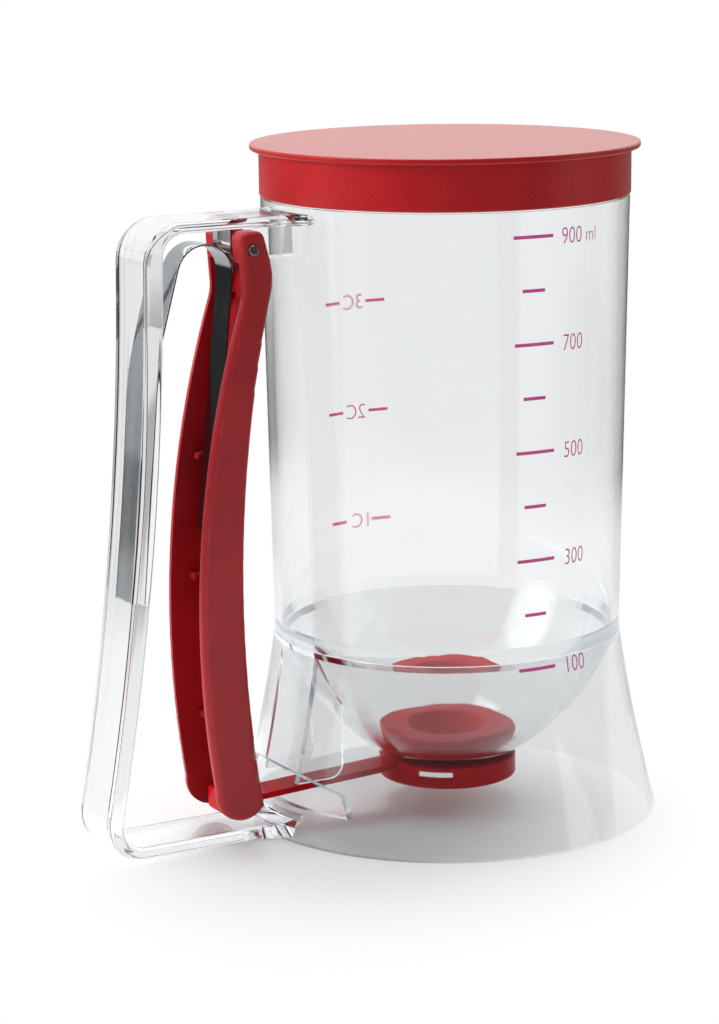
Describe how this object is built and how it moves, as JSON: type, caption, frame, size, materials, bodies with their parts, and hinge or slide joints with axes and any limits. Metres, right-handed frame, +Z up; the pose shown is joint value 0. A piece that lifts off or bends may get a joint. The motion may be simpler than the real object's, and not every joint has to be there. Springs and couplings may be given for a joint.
{
  "type": "batter dispenser",
  "caption": "Hand-held batter dispenser: clear measuring cup on a flared clear skirt, strap handle with a sprung red trigger that draws a slide gate from under the outlet, red push-in lid.",
  "frame": {"origin": "centre of the skirt's base ring, on the table plane", "axes": "+Z up along the cup's axis, -X towards the handle, XZ is the plane of symmetry"},
  "size_m": [0.1685, 0.1172, 0.1859],
  "materials": {
    "clear_plastic": "clear polished",
    "red_plastic": "glossy",
    "red_silicone": "satin",
    "pin_steel": "satin",
    "spring_steel": "polished strip"
  },
  "bodies": {
    "dispenser_body": {"container": "clear_plastic", "base_skirt": "clear_plastic", "handle": "clear_plastic", "outlet_gasket": "red_silicone", "pivot_pin": "pin_steel", "leaf_spring": "spring_steel"},
    "trigger_lever": {"trigger": "red_plastic"},
    "gate_slide": {"slide_gate": "red_plastic"},
    "lid_cap": {"lid": "red_plastic"}
  },
  "joints": [
    {"name": "trigger_hinge", "type": "hinge", "parent": "dispenser_body", "child": "trigger_lever", "pos_m": [-0.0647, 0, 0.1616], "axis": [0, 1, 0], "range_deg": [0, 8], "stiffness_Nm_per_rad": 1.5, "springref_deg": -17.19, "deforming": ["leaf_spring"]},
    {"name": "gate_travel", "type": "slide", "parent": "dispenser_body", "child": "gate_slide", "axis": [-1, 0, 0], "range_m": [0, 0.0212]},
    {"name": "lid_lift", "type": "slide", "parent": "dispenser_body", "child": "lid_cap", "axis": [0, 0, 1], "range_m": [0, 0.03]}
  ],
  "couplings": [
    {"joint": "gate_travel", "follows": "trigger_hinge", "m_per_rad": 0.1507}
  ]
}
